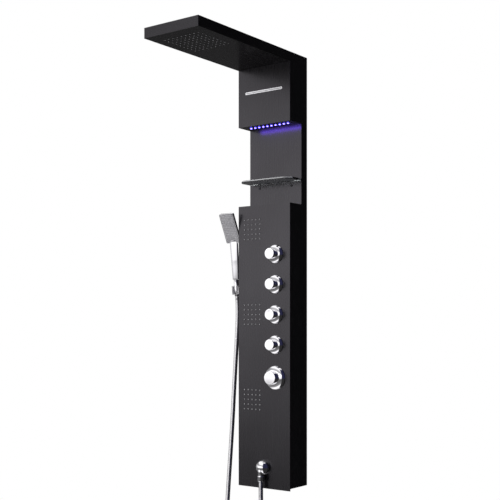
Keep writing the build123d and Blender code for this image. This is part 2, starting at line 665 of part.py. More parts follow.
for name, (route, radii) in pipes.items():
    with BuildPart() as pipe:
        with BuildLine() as path:
            FilletPolyline(*route, radius=radii)
        with BuildSketch(Plane(origin=path.line @ 0, z_dir=path.line % 0)):
            Circle(PIPE_R)
            Circle(PIPE_BORE, mode=Mode.SUBTRACT)
        sweep(path=path.line)
    pieces[name] = pipe

with BuildPart() as supply_pipes:
    for side in (-1, 1):
        with BuildLine() as path:
            FilletPolyline((VALVE_X + 12 * side, SUPPLY_Y, h(MIXER_H) - 34),
                           (VALVE_X + 12 * side, SUPPLY_Y, h(MIXER_H) - 62 + 8 * side),
                           (SUPPLY_X * side, SUPPLY_Y, h(SUPPLY_H) + 60), (SUPPLY_X * side, SUPPLY_Y, h(SUPPLY_H)),
                           (SUPPLY_X * side, -28, h(SUPPLY_H)), radius=[18, 24, 10])
        with BuildSketch(Plane(origin=path.line @ 0, z_dir=path.line % 0)):
            Circle(7)
            Circle(5, mode=Mode.SUBTRACT)
        sweep(path=path.line)
pieces["supply_pipes"] = supply_pipes

with BuildPart() as supply_unions:
    with BuildSketch(Plane.XZ.offset(28)):
        with Locations((-SUPPLY_X, h(SUPPLY_H)), (SUPPLY_X, h(SUPPLY_H))):
            RegularPolygon(14, 6)
    extrude(amount=-12)
    with BuildSketch(Plane.XZ.offset(16)):
        with Locations((-SUPPLY_X, h(SUPPLY_H)), (SUPPLY_X, h(SUPPLY_H))):
            Circle(UNION_R)
    extrude(amount=-UNION_L)
    with BuildSketch(Plane.XZ.offset(30)):
        with Locations((-SUPPLY_X, h(SUPPLY_H)), (SUPPLY_X, h(SUPPLY_H))):
            Circle(5.5)
    extrude(amount=-30, mode=Mode.SUBTRACT)
pieces["supply_unions"] = supply_unions

# ---------------------------------------------------------------- hose outlet
OUT_Y = front - 15.0
with BuildPart() as outlet_elbow:
    # domed cap, flattened against the plate
    with BuildSketch(Plane.YZ.offset(OUTLET_X)):
        with BuildLine():
            z_out = h(OUTLET_H)
            Polyline((front - 3, z_out + 24), (front, z_out + 24), (front, z_out), (front - 25, z_out))
            EllipticalCenterArc((front - 3, z_out), 22, 24, start_angle=90, arc_size=90)
        make_face()
    revolve(axis=Axis((OUTLET_X, 0, z_out), (0, 1, 0)), revolution_arc=360)
    with BuildSketch(Plane.XY.offset(h(OUTLET_H))):
        with Locations((OUTLET_X, OUT_Y)):
            Circle(9.6)
    extrude(amount=-24)
    with BuildSketch(Plane.XY.offset(h(OUTLET_H) - 24)):
        with Locations((OUTLET_X, OUT_Y)):
            Circle(8.33)
    extrude(amount=-8)
    # threaded shank through the plate
    with BuildSketch(Plane.XZ.offset(-front)):
        with Locations((OUTLET_X, h(OUTLET_H))):
            Circle(10.4)
    extrude(amount=-20)
    with BuildSketch(Plane.XZ.offset(-front + 19.6)):
        with Locations((OUTLET_X, h(OUTLET_H))):
            Circle(4.6)
    extrude(amount=-42, mode=Mode.SUBTRACT)
    with BuildSketch(Plane.XY.offset(h(OUTLET_H))):
        with Locations((OUTLET_X, OUT_Y)):
            Circle(4)
    extrude(amount=-36, mode=Mode.SUBTRACT)
pieces["outlet_elbow"] = outlet_elbow

with BuildPart() as outlet_locknut:
    with BuildSketch(Plane.XZ.offset(-back_of_plate)):
        with Locations((OUTLET_X, h(OUTLET_H))):
            RegularPolygon(16, 6)
            Circle(10.45, mode=Mode.SUBTRACT)
    extrude(amount=-6)
pieces["outlet_locknut"] = outlet_locknut

NUT_TOP, NUT_LOW = 41.0, 23.5
with BuildPart() as hose_nut:
    with BuildSketch(Plane.XY.offset(h(NUT_LOW))):
        with Locations((OUTLET_X, OUT_Y)):
            Circle(10.6)
    extrude(amount=NUT_TOP - NUT_LOW)
    fillet(hose_nut.edges().filter_by(GeomType.CIRCLE).group_by(Axis.Z)[0], radius=2)
    with BuildSketch(Plane.XY.offset(h(OUTLET_H) - 32)):
        with Locations((OUTLET_X, OUT_Y)):
            Circle(8.38)
    extrude(amount=12, mode=Mode.SUBTRACT)
    with BuildSketch(Plane.XY.offset(h(NUT_LOW) - 1)):
        with Locations((OUTLET_X, OUT_Y)):
            Circle(4)
    extrude(amount=20, mode=Mode.SUBTRACT)
pieces["hose_nut"] = hose_nut

# ---------------------------------------------------------------- handset
grip_low = (GRIP_X, -65.5, h(653.9))
grip_dir = Vector(0, -10.5, 100.0).normalized()
grip_cross = Vector(1, 0, 0)


def along_grip(s):
    """Plane across the grip at a distance s above its lower end."""
    return Plane(origin=(grip_low[0], grip_low[1] + grip_dir.Y * s, grip_low[2] + grip_dir.Z * s),
                 x_dir=(1, 0, 0), z_dir=(grip_dir.X, grip_dir.Y, grip_dir.Z))


HEAD_W, HEAD_L, HEAD_T = 56.0, 99.0, 10.0
HEAD_LEAN = 24.5                             # degrees that the head leans forward
face_plane = Plane(origin=(GRIP_X, -80.0, h(768.5)), x_dir=(1, 0, 0),
                   z_dir=(0, -cos(radians(HEAD_LEAN)), -sin(radians(HEAD_LEAN))))
FACE_LOW, RIM = 2.0, 2.0                     # the face plate's lower edge, and the rim round it
face_mid = (FACE_LOW + HEAD_L - RIM) / 2
face_len = HEAD_L - RIM - FACE_LOW
BUTTON = (0.0, 8.5)

with BuildPart() as handset_body:
    with BuildSketch(face_plane.offset(-0.8)):
        with Locations((0, HEAD_L / 2)):
            RectangleRounded(HEAD_W, HEAD_L, 5)
    extrude(amount=-(HEAD_T - 0.8))
    fillet(handset_body.faces().sort_by(Axis.Y)[-1].edges(), radius=2.5)
    with BuildSketch(along_grip(0)):
        RectangleRounded(24, 13, 6)
    with BuildSketch(along_grip(60)):
        RectangleRounded(27, 11.5, 5.2)
    with BuildSketch(along_grip(122)):
        RectangleRounded(31, 9, 3.5)
    loft()
    with BuildSketch(along_grip(0)):
        Circle(6.5)
    extrude(amount=-34)
    # recess for the nozzle face
    with BuildSketch(face_plane.offset(3)):
        with Locations((0, face_mid)):
            RectangleRounded(HEAD_W - 2 * RIM, face_len, 3.5)
    extrude(amount=-7, mode=Mode.SUBTRACT)
    # well for the mode button
    with BuildSketch(face_plane.offset(-3)):
        with Locations(BUTTON):
            RectangleRounded(13, 7.4, 3)
    extrude(amount=-5.4, mode=Mode.SUBTRACT)
    with BuildSketch(along_grip(-35)):
        Circle(3.5)
    extrude(amount=100, mode=Mode.SUBTRACT)
pieces["handset_body"] = handset_body

with BuildPart() as handset_face:
    with BuildSketch(face_plane.offset(-4)):
        with Locations((0, face_mid)):
            RectangleRounded(HEAD_W - 2 * RIM - 0.2, face_len - 0.2, 3.4)
        with Locations(BUTTON):
            RectangleRounded(13, 7.4, 3, mode=Mode.SUBTRACT)
    extrude(amount=3.6)
    with BuildSketch(face_plane.offset(-0.5)):
        with Locations((0, face_mid + 7)):
            with GridLocations(6.2, 5.6, 8, 14):
                Circle(1.2)
    extrude(amount=1.2)
pieces["handset_face"] = handset_face

with BuildPart() as mode_button:
    with BuildSketch(face_plane.offset(-6.2)):
        with Locations(BUTTON):
            RectangleRounded(12.4, 6.8, 2.7)
    extrude(amount=8.0)
    fillet(mode_button.faces().sort_by(Axis.Y)[0].edges(), radius=0.8)
pieces["mode_button"] = mode_button

CONE_TOP, CONE_LOW = -22.0, -54.0
with BuildPart() as hose_cone:
    with BuildSketch(along_grip(CONE_LOW)):
        Circle(8.2)
    with BuildSketch(along_grip(CONE_TOP)):
        Circle(9.8)
    loft()
    with BuildSketch(along_grip(CONE_TOP)):
        Circle(7.9)
    extrude(amount=-1.0 - CONE_TOP)
    with BuildSketch(along_grip(-34.2)):
        Circle(6.6)
    extrude(amount=34, mode=Mode.SUBTRACT)
    with BuildSketch(along_grip(CONE_LOW - 1)):
        Circle(4)
    extrude(amount=25, mode=Mode.SUBTRACT)
pieces["hose_cone"] = hose_cone

with BuildPart() as handset_holder:
    with BuildSketch(Plane.YZ.offset(-half)):
        with Locations((HOLDER_Y, h(HOLDER_H))):
            RectangleRounded(26, 32, 5)
    extrude(amount=-6)
    with BuildSketch(Plane.YZ.offset(-half - 5)):
        with Locations((HOLDER_Y, h(HOLDER_H))):
            RectangleRounded(18, 24, 4)
    extrude(amount=-16)
    with BuildSketch(along_grip(-48)):
        Circle(16)
    extrude(amount=27)
    with BuildSketch(along_grip(-49)):
        Circle(8.95)
    with BuildSketch(along_grip(-20.5)):
        Circle(10.35)
    loft(mode=Mode.SUBTRACT)
    with BuildSketch(along_grip(-50)):
        with Locations((0, -13)):
            Rectangle(15.4, 26)
    extrude(amount=32, mode=Mode.SUBTRACT)
    with BuildSketch(Plane.YZ.offset(-half)):
        with Locations((HOLDER_Y, h(HOLDER_H) - 9), (HOLDER_Y, h(HOLDER_H) + 9)):
            Circle(1.9)
    extrude(amount=-5, mode=Mode.SUBTRACT)
pieces["handset_holder"] = handset_holder

with BuildPart() as holder_screws:
    for z in (-9, 9):
        with BuildSketch(Plane.YZ.offset(-inner)):
            with Locations((HOLDER_Y, h(HOLDER_H) + z)):
                Circle(3.6)
        extrude(amount=2.2)
        with BuildSketch(Plane.YZ.offset(-inner)):
            with Locations((HOLDER_Y, h(HOLDER_H) + z)):
                Circle(1.85)
        extrude(amount=-6)
pieces["holder_screws"] = holder_screws

# ---------------------------------------------------------------- hose
hose_start = along_grip(CONE_LOW).origin
hose_second = along_grip(CONE_LOW - 42).origin
hose_route = [
    (hose_start.X, hose_start.Y, hose_start.Z),
    (hose_second.X, hose_second.Y, hose_second.Z),
    (-131.8, -58.2, h(480)),
    (-135.0, -62.8, h(385)),
    (-137.5, -68.0, h(290)),
    (-139.5, -73.5, h(190)),
    (-142.0, -80.4, h(90)),
    (-144.8, -87.5, h(-10)),
    (-147.0, -93.5, h(-110)),
    (-148.5, -98.2, h(-200)),
    (-149.2, -101.2, h(-268)),
    (-148.6, -102.8, h(-314)),
    (-127.6, -104.2, h(-351)),
    (-91.0, -105.4, h(-372)),
    (-48.7, -106.4, h(-372)),
    (-12.2, -107.4, h(-350.5)),
    (9.0, -108.4, h(-313.6)),
    (9.4, -109.0, h(-266)),
    (7.6, -109.2, h(-185)),
    (3.8, -108.6, h(-105)),
    (0.8, -107.6, h(-45)),
    (OUTLET_X, OUT_Y, h(-6)),
    (OUTLET_X, OUT_Y, h(NUT_LOW)),
]
points = [Vector(*p) for p in hose_route]
runs = [(b - a).length for a, b in zip(points, points[1:])]
radii = []
for a, b, c in zip(points, points[1:], points[2:]):
    turn = radians((b - a).get_angle(c - b))
    radii.append(0.45 * min((b - a).length, (c - b).length) / tan(turn / 2))
print("hose runs", [round(r, 1) for r in runs])
print("hose radii", [round(r) for r in radii])

with BuildPart() as hose_tube:
    with BuildLine() as path:
        FilletPolyline(*hose_route, radius=radii)
    with BuildSketch(Plane(origin=path.line @ 0, z_dir=path.line % 0)):
        Circle(HOSE_R)
    sweep(path=path.line)
length = sum(e.length for e in path.line.edges())
print("hose length", round(length, 1), "volume over section times length",
      round(hose_tube.part.volume / (3.14159265 * HOSE_R ** 2 * length), 4))
pieces["hose_tube"] = hose_tube

for node, piece in pieces.items():
    piece.part.label = node
    export_step(piece.part, f"parts/{node}.step")
print(len(pieces), "pieces")
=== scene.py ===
import math

import bmesh
import bpy
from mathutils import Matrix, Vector


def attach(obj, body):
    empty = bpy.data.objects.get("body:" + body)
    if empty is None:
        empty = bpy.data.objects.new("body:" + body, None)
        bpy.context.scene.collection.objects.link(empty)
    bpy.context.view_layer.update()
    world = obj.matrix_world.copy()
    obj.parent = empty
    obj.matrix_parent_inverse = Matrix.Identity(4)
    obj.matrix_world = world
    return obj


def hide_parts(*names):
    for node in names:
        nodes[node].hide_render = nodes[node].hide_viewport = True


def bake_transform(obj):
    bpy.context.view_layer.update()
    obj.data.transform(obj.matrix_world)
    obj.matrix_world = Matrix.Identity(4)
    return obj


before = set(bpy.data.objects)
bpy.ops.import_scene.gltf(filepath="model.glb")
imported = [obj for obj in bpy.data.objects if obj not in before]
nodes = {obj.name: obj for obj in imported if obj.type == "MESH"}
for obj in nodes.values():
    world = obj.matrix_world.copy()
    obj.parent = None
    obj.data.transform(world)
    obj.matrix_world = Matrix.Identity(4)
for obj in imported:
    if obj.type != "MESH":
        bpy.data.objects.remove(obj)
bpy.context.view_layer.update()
scene = bpy.context.scene


def H(height):
    """Height above the panel's lower edge in mm, as Z in metres."""
    return (height - 650.0) / 1000.0


# ------------------------------------------------------------------ camera
cam_data = bpy.data.cameras.new("camera")
cam = bpy.data.objects.new("camera", cam_data)
scene.collection.objects.link(cam)
cam.location = (1.778471, -2.473951, -0.133772)
cam.rotation_euler = (math.radians(90), 0, math.radians(35.773))
cam_data.sensor_width = 36.0
cam_data.lens = 68.796
cam_data.shift_x = -0.06
cam_data.shift_y = 0.14455
cam_data.clip_end = 60
scene.camera = cam


# ------------------------------------------------------------------ mesh helpers
def add_mesh(name, verts, faces, smooth=True, sharp=35.0, material=None):
    me = bpy.data.meshes.new(name)
    me.from_pydata([tuple(v) for v in verts], [], faces)
    me.validate()
    bm = bmesh.new()
    bm.from_mesh(me)
    bmesh.ops.recalc_face_normals(bm, faces=bm.faces)
    bm.to_mesh(me)
    bm.free()
    if smooth:
        me.polygons.foreach_set("use_smooth", [True] * len(me.polygons))
        me.set_sharp_from_angle(angle=math.radians(sharp))
    ob = bpy.data.objects.new(name, me)
    scene.collection.objects.link(ob)
    if material:
        me.materials.append(material)
    return ob


def basis(axis):
    """Two unit vectors across a direction."""
    a = Vector(axis).normalized()
    u = Vector((1, 0, 0)) if abs(a.x) < 0.9 else Vector((0, 0, 1))
    u = (u - a * u.dot(a)).normalized()
    return u, a.cross(u).normalized(), a


def lathe_geo(profile, origin, axis, segs=64, start_cap=True, end_cap=True):
    """Vertices and faces of a solid of revolution; profile is (radius, distance) in metres."""
    u, v, a = basis(axis)
    o = Vector(origin)
    verts, faces = [], []
    for r, d in profile:
        for k in range(segs):
            t = 2 * math.pi * k / segs
            verts.append(o + a * d + (u * math.cos(t) + v * math.sin(t)) * r)
    for i in range(len(profile) - 1):
        for k in range(segs):
            p, q = i * segs + k, i * segs + (k + 1) % segs
            faces.append((p, q, q + segs, p + segs))
    if start_cap:
        faces.append(tuple(reversed(range(segs))))
    if end_cap:
        base = (len(profile) - 1) * segs
        faces.append(tuple(range(base, base + segs)))
    return verts, faces


def ring_geo(profile, origin, axis, segs=64):
    """A closed profile turned all the way round: a hollow ring with no caps."""
    u, v, a = basis(axis)
    o = Vector(origin)
    n = len(profile)
    verts, faces = [], []
    for r, d in profile:
        for k in range(segs):
            t = 2 * math.pi * k / segs
            verts.append(o + a * d + (u * math.cos(t) + v * math.sin(t)) * r)
    for i in range(n):
        for k in range(segs):
            p, q = i * segs + k, i * segs + (k + 1) % segs
            j = (i + 1) % n
            faces.append((p, q, j * segs + (k + 1) % segs, j * segs + k))
    return verts, faces


def merge(*geos):
    verts, faces = [], []
    for v, f in geos:
        n = len(verts)
        verts += list(v)
        faces += [tuple(i + n for i in face) for face in f]
    return verts, faces


def mm(profile):
    return [(r / 1000.0, d / 1000.0) for r, d in profile]


def arc(cx, cy, rx, ry, a0, a1, n):
    """Points of an elliptical arc, angles in degrees."""
    return [(cx + rx * math.cos(math.radians(a0 + (a1 - a0) * i / n)),
             cy + ry * math.sin(math.radians(a0 + (a1 - a0) * i / n))) for i in range(n + 1)]


def rounded_rect(w, l, r, n=6):
    """Outline of a rounded rectangle about the origin."""
    pts = []
    for cx, cy, a0 in ((w / 2 - r, l / 2 - r, 0), (-w / 2 + r, l / 2 - r, 90),
                       (-w / 2 + r, -l / 2 + r, 180), (w / 2 - r, -l / 2 + r, 270)):
        pts += arc(cx, cy, r, r, a0, a0 + 90, n)
    return pts


def loops_geo(loops, cap_start=True, cap_end=True, closed=False):
    """Skin over a list of loops that have the same number of points."""
    n = len(loops[0])
    verts = [p for loop in loops for p in loop]
    faces = []
    last = len(loops) if closed else len(loops) - 1
    for i in range(last):
        j = (i + 1) % len(loops)
        for k in range(n):
            faces.append((i * n + k, i * n + (k + 1) % n, j * n + (k + 1) % n, j * n + k))
    if not closed and cap_start:
        faces.append(tuple(reversed(range(n))))
    if not closed and cap_end:
        faces.append(tuple(range((len(loops) - 1) * n, len(loops) * n)))
    return verts, faces


class Place:
    """A local frame: x, y across, z out, in metres."""

    def __init__(self, origin, x, z):
        self.o = Vector(origin)
        self.z = Vector(z).normalized()
        x = Vector(x)
        self.x = (x - self.z * x.dot(self.z)).normalized()
        self.y = self.z.cross(self.x).normalized()

    def at(self, x, y, z=0.0):
        return self.o + self.x * x + self.y * y + self.z * z


# ------------------------------------------------------------------ materials
def new_mat(name):
    m = bpy.data.materials.new(name)
    m.use_nodes = True
    nt = m.node_tree
    bsdf = nt.nodes["Principled BSDF"]
    return m, nt, bsdf


def coords(nt, scale=(1, 1, 1), rotation=(0, 0, 0)):
    tc = nt.nodes.new("ShaderNodeTexCoord")
    mp = nt.nodes.new("ShaderNodeMapping")
    mp.inputs["Scale"].default_value = scale
    mp.inputs["Rotation"].default_value = rotation
    nt.links.new(tc.outputs["Object"], mp.inputs["Vector"])
    return mp.outputs["Vector"]


def noise_node(nt, vec, scale=1.0, detail=3.0, rough=0.5):
    n = nt.nodes.new("ShaderNodeTexNoise")
    n.inputs["Scale"].default_value = scale
    n.inputs["Detail"].default_value = detail
    n.inputs["Roughness"].default_value = rough
    nt.links.new(vec, n.inputs["Vector"])
    return n


def ramp(nt, fac, stops):
    r = nt.nodes.new("ShaderNodeValToRGB")
    el = r.color_ramp.elements
    while len(el) < len(stops):
        el.new(0.5)
    for e, (p, c) in zip(el, stops):
        e.position = p
        e.color = (*c, 1.0) if len(c) == 3 else c
    nt.links.new(fac, r.inputs["Fac"])
    return r.outputs["Color"]


def map_range(nt, value, a, b, lo=0.3, hi=0.7):
    m = nt.nodes.new("ShaderNodeMapRange")
    m.inputs["From Min"].default_value = lo
    m.inputs["From Max"].default_value = hi
    m.inputs["To Min"].default_value = a
    m.inputs["To Max"].default_value = b
    nt.links.new(value, m.inputs["Value"])
    return m.outputs["Result"]


def bump(nt, bsdf, height, strength=0.2, distance=0.0001):
    b = nt.nodes.new("ShaderNodeBump")
    b.inputs["Strength"].default_value = strength
    b.inputs["Distance"].default_value = distance
    nt.links.new(height, b.inputs["Height"])
    nt.links.new(b.outputs["Normal"], bsdf.inputs["Normal"])


def brushed(name, lo, hi, metallic, r0, r1, scale, strength=0.12, coat=0.0, wear=None):
    """Satin brushed finish: fine streaks along one direction, over a slow cloud of colour."""
    m, nt, b = new_mat(name)
    streak = noise_node(nt, coords(nt, scale), 1.0, 4.0, 0.6)
    cloud = noise_node(nt, coords(nt, (5, 5, 4)), 1.0, 2.0, 0.5)
    mix = nt.nodes.new("ShaderNodeMath")
    mix.operation = "MULTIPLY_ADD"
    nt.links.new(streak.outputs["Fac"], mix.inputs[0])
    mix.inputs[1].default_value = 0.45
    add = nt.nodes.new("ShaderNodeMath")
    add.operation = "MULTIPLY"
    add.inputs[1].default_value = 0.55
    nt.links.new(cloud.outputs["Fac"], add.inputs[0])
    nt.links.new(add.outputs[0], mix.inputs[2])
    nt.links.new(ramp(nt, mix.outputs[0], [(0.36, lo), (0.64, hi)]), b.inputs["Base Color"])
    nt.links.new(map_range(nt, streak.outputs["Fac"], r0, r1), b.inputs["Roughness"])
    b.inputs["Metallic"].default_value = metallic
    b.inputs["Coat Weight"].default_value = coat
    b.inputs["Coat Roughness"].default_value = 0.12
    bump(nt, b, streak.outputs["Fac"], strength, 0.00004)
    return m


def metal(name, lo, hi, r0, r1, scale=40.0, strength=0.02):
    m, nt, b = new_mat(name)
    n = noise_node(nt, coords(nt), scale, 3.0, 0.5)
    nt.links.new(ramp(nt, n.outputs["Fac"], [(0.35, lo), (0.65, hi)]), b.inputs["Base Color"])
    nt.links.new(map_range(nt, n.outputs["Fac"], r0, r1), b.inputs["Roughness"])
    b.inputs["Metallic"].default_value = 1.0
    bump(nt, b, n.outputs["Fac"], strength, 0.0001)
    return m


def plastic(name, lo, hi, r0, r1, scale=900.0, strength=0.15, metallic=0.0, specular=0.5):
    m, nt, b = new_mat(name)
    n = noise_node(nt, coords(nt), scale, 3.0, 0.6)
    c = noise_node(nt, coords(nt), 30.0, 2.0, 0.5)
    nt.links.new(ramp(nt, c.outputs["Fac"], [(0.35, lo), (0.65, hi)]), b.inputs["Base Color"])
    nt.links.new(map_range(nt, n.outputs["Fac"], r0, r1), b.inputs["Roughness"])
    b.inputs["Metallic"].default_value = metallic
    b.inputs["Specular IOR Level"].default_value = specular
    bump(nt, b, n.outputs["Fac"], strength, 0.00006)
    return m


M = {}
# casing and plates: black brushed stainless, streaks along the height, along the arm underneath and across its front
M["plate"] = brushed("plate_black", (0.050, 0.048, 0.052), (0.062, 0.060, 0.065), 0.9, 0.24, 0.32, (1500, 1500, 5), 0.10)
M["plate_flat"] = brushed("plate_black_flat", (0.048, 0.046, 0.050), (0.060, 0.058, 0.062), 0.9, 0.20, 0.28, (1500, 6, 1500), 0.10)
M["arm"] = brushed("arm_black", (0.048, 0.046, 0.050), (0.062, 0.060, 0.065), 0.9, 0.24, 0.34, (7, 1500, 1500), 0.12)
M["side"] = brushed("side_black", (0.048, 0.046, 0.050), (0.060, 0.058, 0.063), 0.9, 0.26, 0.34, (1500, 1500, 5), 0.10)
M["zinc"] = metal("zinc_steel", (0.50, 0.51, 0.52), (0.62, 0.63, 0.65), 0.32, 0.5, 60, 0.1)
M["chrome"] = metal("chrome", (0.80, 0.80, 0.82), (0.86, 0.86, 0.88), 0.035, 0.07, 30, 0.006)
M["satin_chrome"] = metal("satin_chrome", (0.72, 0.72, 0.74), (0.80, 0.80, 0.82), 0.22, 0.32, 60, 0.03)
M["brass"] = metal("brass", (0.62, 0.47, 0.22), (0.74, 0.58, 0.30), 0.22, 0.38, 50, 0.08)
M["pipe"] = brushed("steel_pipe", (0.56, 0.57, 0.58), (0.68, 0.69, 0.70), 1.0, 0.22, 0.36, (500, 500, 60), 0.1)
M["screw"] = metal("screw_steel", (0.52, 0.52, 0.53), (0.64, 0.64, 0.66), 0.22, 0.36, 400, 0.06)
M["abs"] = plastic("abs_black", (0.014, 0.014, 0.016), (0.022, 0.022, 0.024), 0.42, 0.6)
M["silicone"] = plastic("silicone_dark", (0.030, 0.030, 0.032), (0.042, 0.042, 0.045), 0.55, 0.7)
M["nozzle"] = plastic("silicone_grey", (0.34, 0.34, 0.35), (0.44, 0.44, 0.45), 0.45, 0.6)
M["screw_dark"] = metal("screw_black", (0.03, 0.03, 0.032), (0.05, 0.05, 0.052), 0.35, 0.5, 400, 0.06)
M["gasket"] = plastic("silicone_clear", (0.42, 0.42, 0.43), (0.55, 0.55, 0.56), 0.4, 0.55)
M["ceramic"] = plastic("cartridge_shell", (0.62, 0.62, 0.60), (0.74, 0.74, 0.72), 0.25, 0.38)
M["white"] = plastic("turbine_white", (0.66, 0.66, 0.65), (0.78, 0.78, 0.77), 0.35, 0.5)
M["board"] = plastic("board_green", (0.012, 0.11, 0.045), (0.02, 0.17, 0.07), 0.3, 0.45, 300)
M["face"] = plastic("nozzle_face_grey", (0.56, 0.56, 0.575), (0.64, 0.64, 0.655), 0.22, 0.34, 500, 0.08)
M["face_nozzle"] = plastic("nozzle_tip_grey", (0.90, 0.90, 0.91), (0.96, 0.96, 0.97), 0.3, 0.45)
M["pale_satin"] = metal("holder_satin", (0.88, 0.88, 0.89), (0.94, 0.94, 0.95), 0.36, 0.48, 60, 0.03)
M["pale_satin"].node_tree.nodes["Principled BSDF"].inputs["Metallic"].default_value = 0.35
M["hose"] = metal("hose_chrome", (0.74, 0.74, 0.75), (0.84, 0.84, 0.85), 0.06, 0.12, 200, 0.03)


def glass_material():
    m, nt, b = new_mat("shelf_glass")
    n = noise_node(nt, coords(nt), 60.0, 3.0, 0.5)
    nt.links.new(map_range(nt, n.outputs["Fac"], 0.0, 0.03), b.inputs["Roughness"])
    nt.links.new(ramp(nt, n.outputs["Fac"], [(0.3, (0.80, 0.88, 0.87)), (0.7, (0.90, 0.95, 0.94))]), b.inputs["Base Color"])
    b.inputs["Transmission Weight"].default_value = 1.0
    b.inputs["IOR"].default_value = 1.5
    return m


def lens_material():
    m, nt, b = new_mat("led_lens")
    n = noise_node(nt, coords(nt), 300.0, 2.0, 0.5)
    nt.links.new(ramp(nt, n.outputs["Fac"], [(0.3, (0.72, 0.66, 1.0)), (0.7, (0.90, 0.86, 1.0))]), b.inputs["Base Color"])
    nt.links.new(ramp(nt, n.outputs["Fac"], [(0.3, (0.10, 0.075, 1.0)), (0.7, (0.13, 0.10, 1.0))]), b.inputs["Emission Color"])
    b.inputs["Emission Strength"].default_value = 12.0
    b.inputs["Roughness"].default_value = 0.25
    return m


def painted_edge_light_material(top):
    """Glass front edge with painted light: a pale band along the top is a painted highlight, and below it the edge is
    painted dark as painted shade.
    """
    m, nt, b = new_mat("shelf_edge_painted_light")
    tc = nt.nodes.new("ShaderNodeTexCoord")
    sep = nt.nodes.new("ShaderNodeSeparateXYZ")
    nt.links.new(tc.outputs["Object"], sep.inputs["Vector"])
    # painted light: the pale upper band is a painted highlight, the dark part below it is painted shade
    painted_highlight_band = map_range(nt, sep.outputs["Z"], 0.0, 1.0, top - 0.0036, top - 0.0030)
    nt.links.new(ramp(nt, painted_highlight_band, [(0.0, (0.03, 0.034, 0.036)), (1.0, (0.86, 0.88, 0.88))]), b.inputs["Base Color"])
    n = noise_node(nt, coords(nt), 700.0, 3.0, 0.5)
    nt.links.new(map_range(nt, n.outputs["Fac"], 0.25, 0.45), b.inputs["Roughness"])
    return m


M["glass"] = glass_material()
M["lens"] = lens_material()

node_mat = {
    "arm_casing": "arm", "side_panel_left": "side", "side_panel_right": "side", "bottom_cover": "plate_flat",
    "niche_panel": "plate", "rain_plate": "plate_flat", "upper_front_plate": "plate", "lower_front_plate": "plate",
    "wall_brackets": "zinc", "hanger_rails": "zinc", "shelf_carrier": "zinc", "glass_shelf": "glass",
    "shelf_gasket": "gasket", "rain_nozzle_mat": "silicone", "jet_nozzle_mats": "silicone", "rain_chamber": "abs",
    "jet_chambers": "abs", "waterfall_chamber": "abs", "led_holder": "abs", "waterfall_lip": "satin_chrome",
    "led_lenses": "lens", "led_board": "board", "turbine_housing": "white", "turbine_cap": "white",
    "turbine_rotor": "white", "jet_link_pipes": "pipe", "rain_feed_pipe_lower": "pipe",
    "rain_feed_pipe_upper": "pipe", "waterfall_feed_pipe": "pipe", "body_jet_feed_pipe": "pipe",
    "handset_feed_pipe": "pipe", "supply_pipes": "pipe", "supply_unions": "brass", "valve_manifold": "brass",
    "cartridge_nuts": "brass", "outlet_locknut": "brass", "valve_cartridges": "ceramic",
    "mixer_cartridge": "ceramic", "valve_escutcheons": "chrome", "mixer_escutcheon": "chrome",
    "waterfall_knob": "chrome", "rain_knob": "chrome", "body_jet_knob": "chrome", "handset_knob": "chrome",
    "mixer_knob": "chrome", "waterfall_spindle": "brass", "rain_spindle": "brass", "body_jet_spindle": "brass",
    "handset_spindle": "brass", "mixer_spindle": "brass", "outlet_elbow": "chrome", "hose_nut": "chrome",
    "hose_cone": "chrome", "hose_tube": "hose", "handset_body": "chrome", "handset_face": "face",
    "mode_button": "face_nozzle", "handset_holder": "pale_satin", "holder_screws": "screw", "shelf_screws": "screw_dark",
}
for name, ob in nodes.items():
    ob.data.materials.clear()
    ob.data.materials.append(M[node_mat[name]])


def second_finish(name, material, test):
    """Gives a second finish to the faces of a node whose centre and normal pass a test."""
    me = nodes[name].data
    me.materials.append(material)
    for poly in me.polygons:
        if test(poly.center, poly.normal):
            poly.material_index = 1


HEAD_LEAN = math.radians(24.5)
head = Place((-0.130, -0.080, H(768.5)), (1, 0, 0), (0, -math.cos(HEAD_LEAN), -math.sin(HEAD_LEAN)))
rain_low = min(v.co.z for v in nodes["rain_plate"].data.vertices)
jet_front = min(v.co.y for v in nodes["lower_front_plate"].data.vertices)
glass_front = min(v.co.y for v in nodes["glass_shelf"].data.vertices)
second_finish("rain_nozzle_mat", M["nozzle"], lambda c, n: c.z < rain_low - 0.0002)
second_finish("jet_nozzle_mats", M["nozzle"], lambda c, n: c.y < jet_front - 0.0002)
second_finish("handset_face", M["face_nozzle"], lambda c, n: (c - head.o).dot(head.z) > 0.0001)
# the shelf's front-facing faces get the painted-light edge: a painted highlight along the top over painted shade
M["shelf_edge_painted_light"] = painted_edge_light_material(max(v.co.z for v in nodes["glass_shelf"].data.vertices))
second_finish("glass_shelf", M["shelf_edge_painted_light"], lambda c, n: abs(n.z) < 0.5 and n.y < -0.25)

# ------------------------------------------------------------------ turned pieces
def curve_through(pts, n=5):
    """A smooth line through the points of a half section."""
    out = []
    for i in range(len(pts) - 1):
        p0, p1, p2, p3 = pts[max(i - 1, 0)], pts[i], pts[i + 1], pts[min(i + 2, len(pts) - 1)]
        for k in range(n):
            t = k / n
            out.append(tuple(0.5 * (2 * b + (c - a) * t + (2 * a - 5 * b + 4 * c - d) * t * t
                                    + (3 * b - a - 3 * c + d) * t ** 3) for a, b, c, d in zip(p0, p1, p2, p3)))
    return out + [pts[-1]]


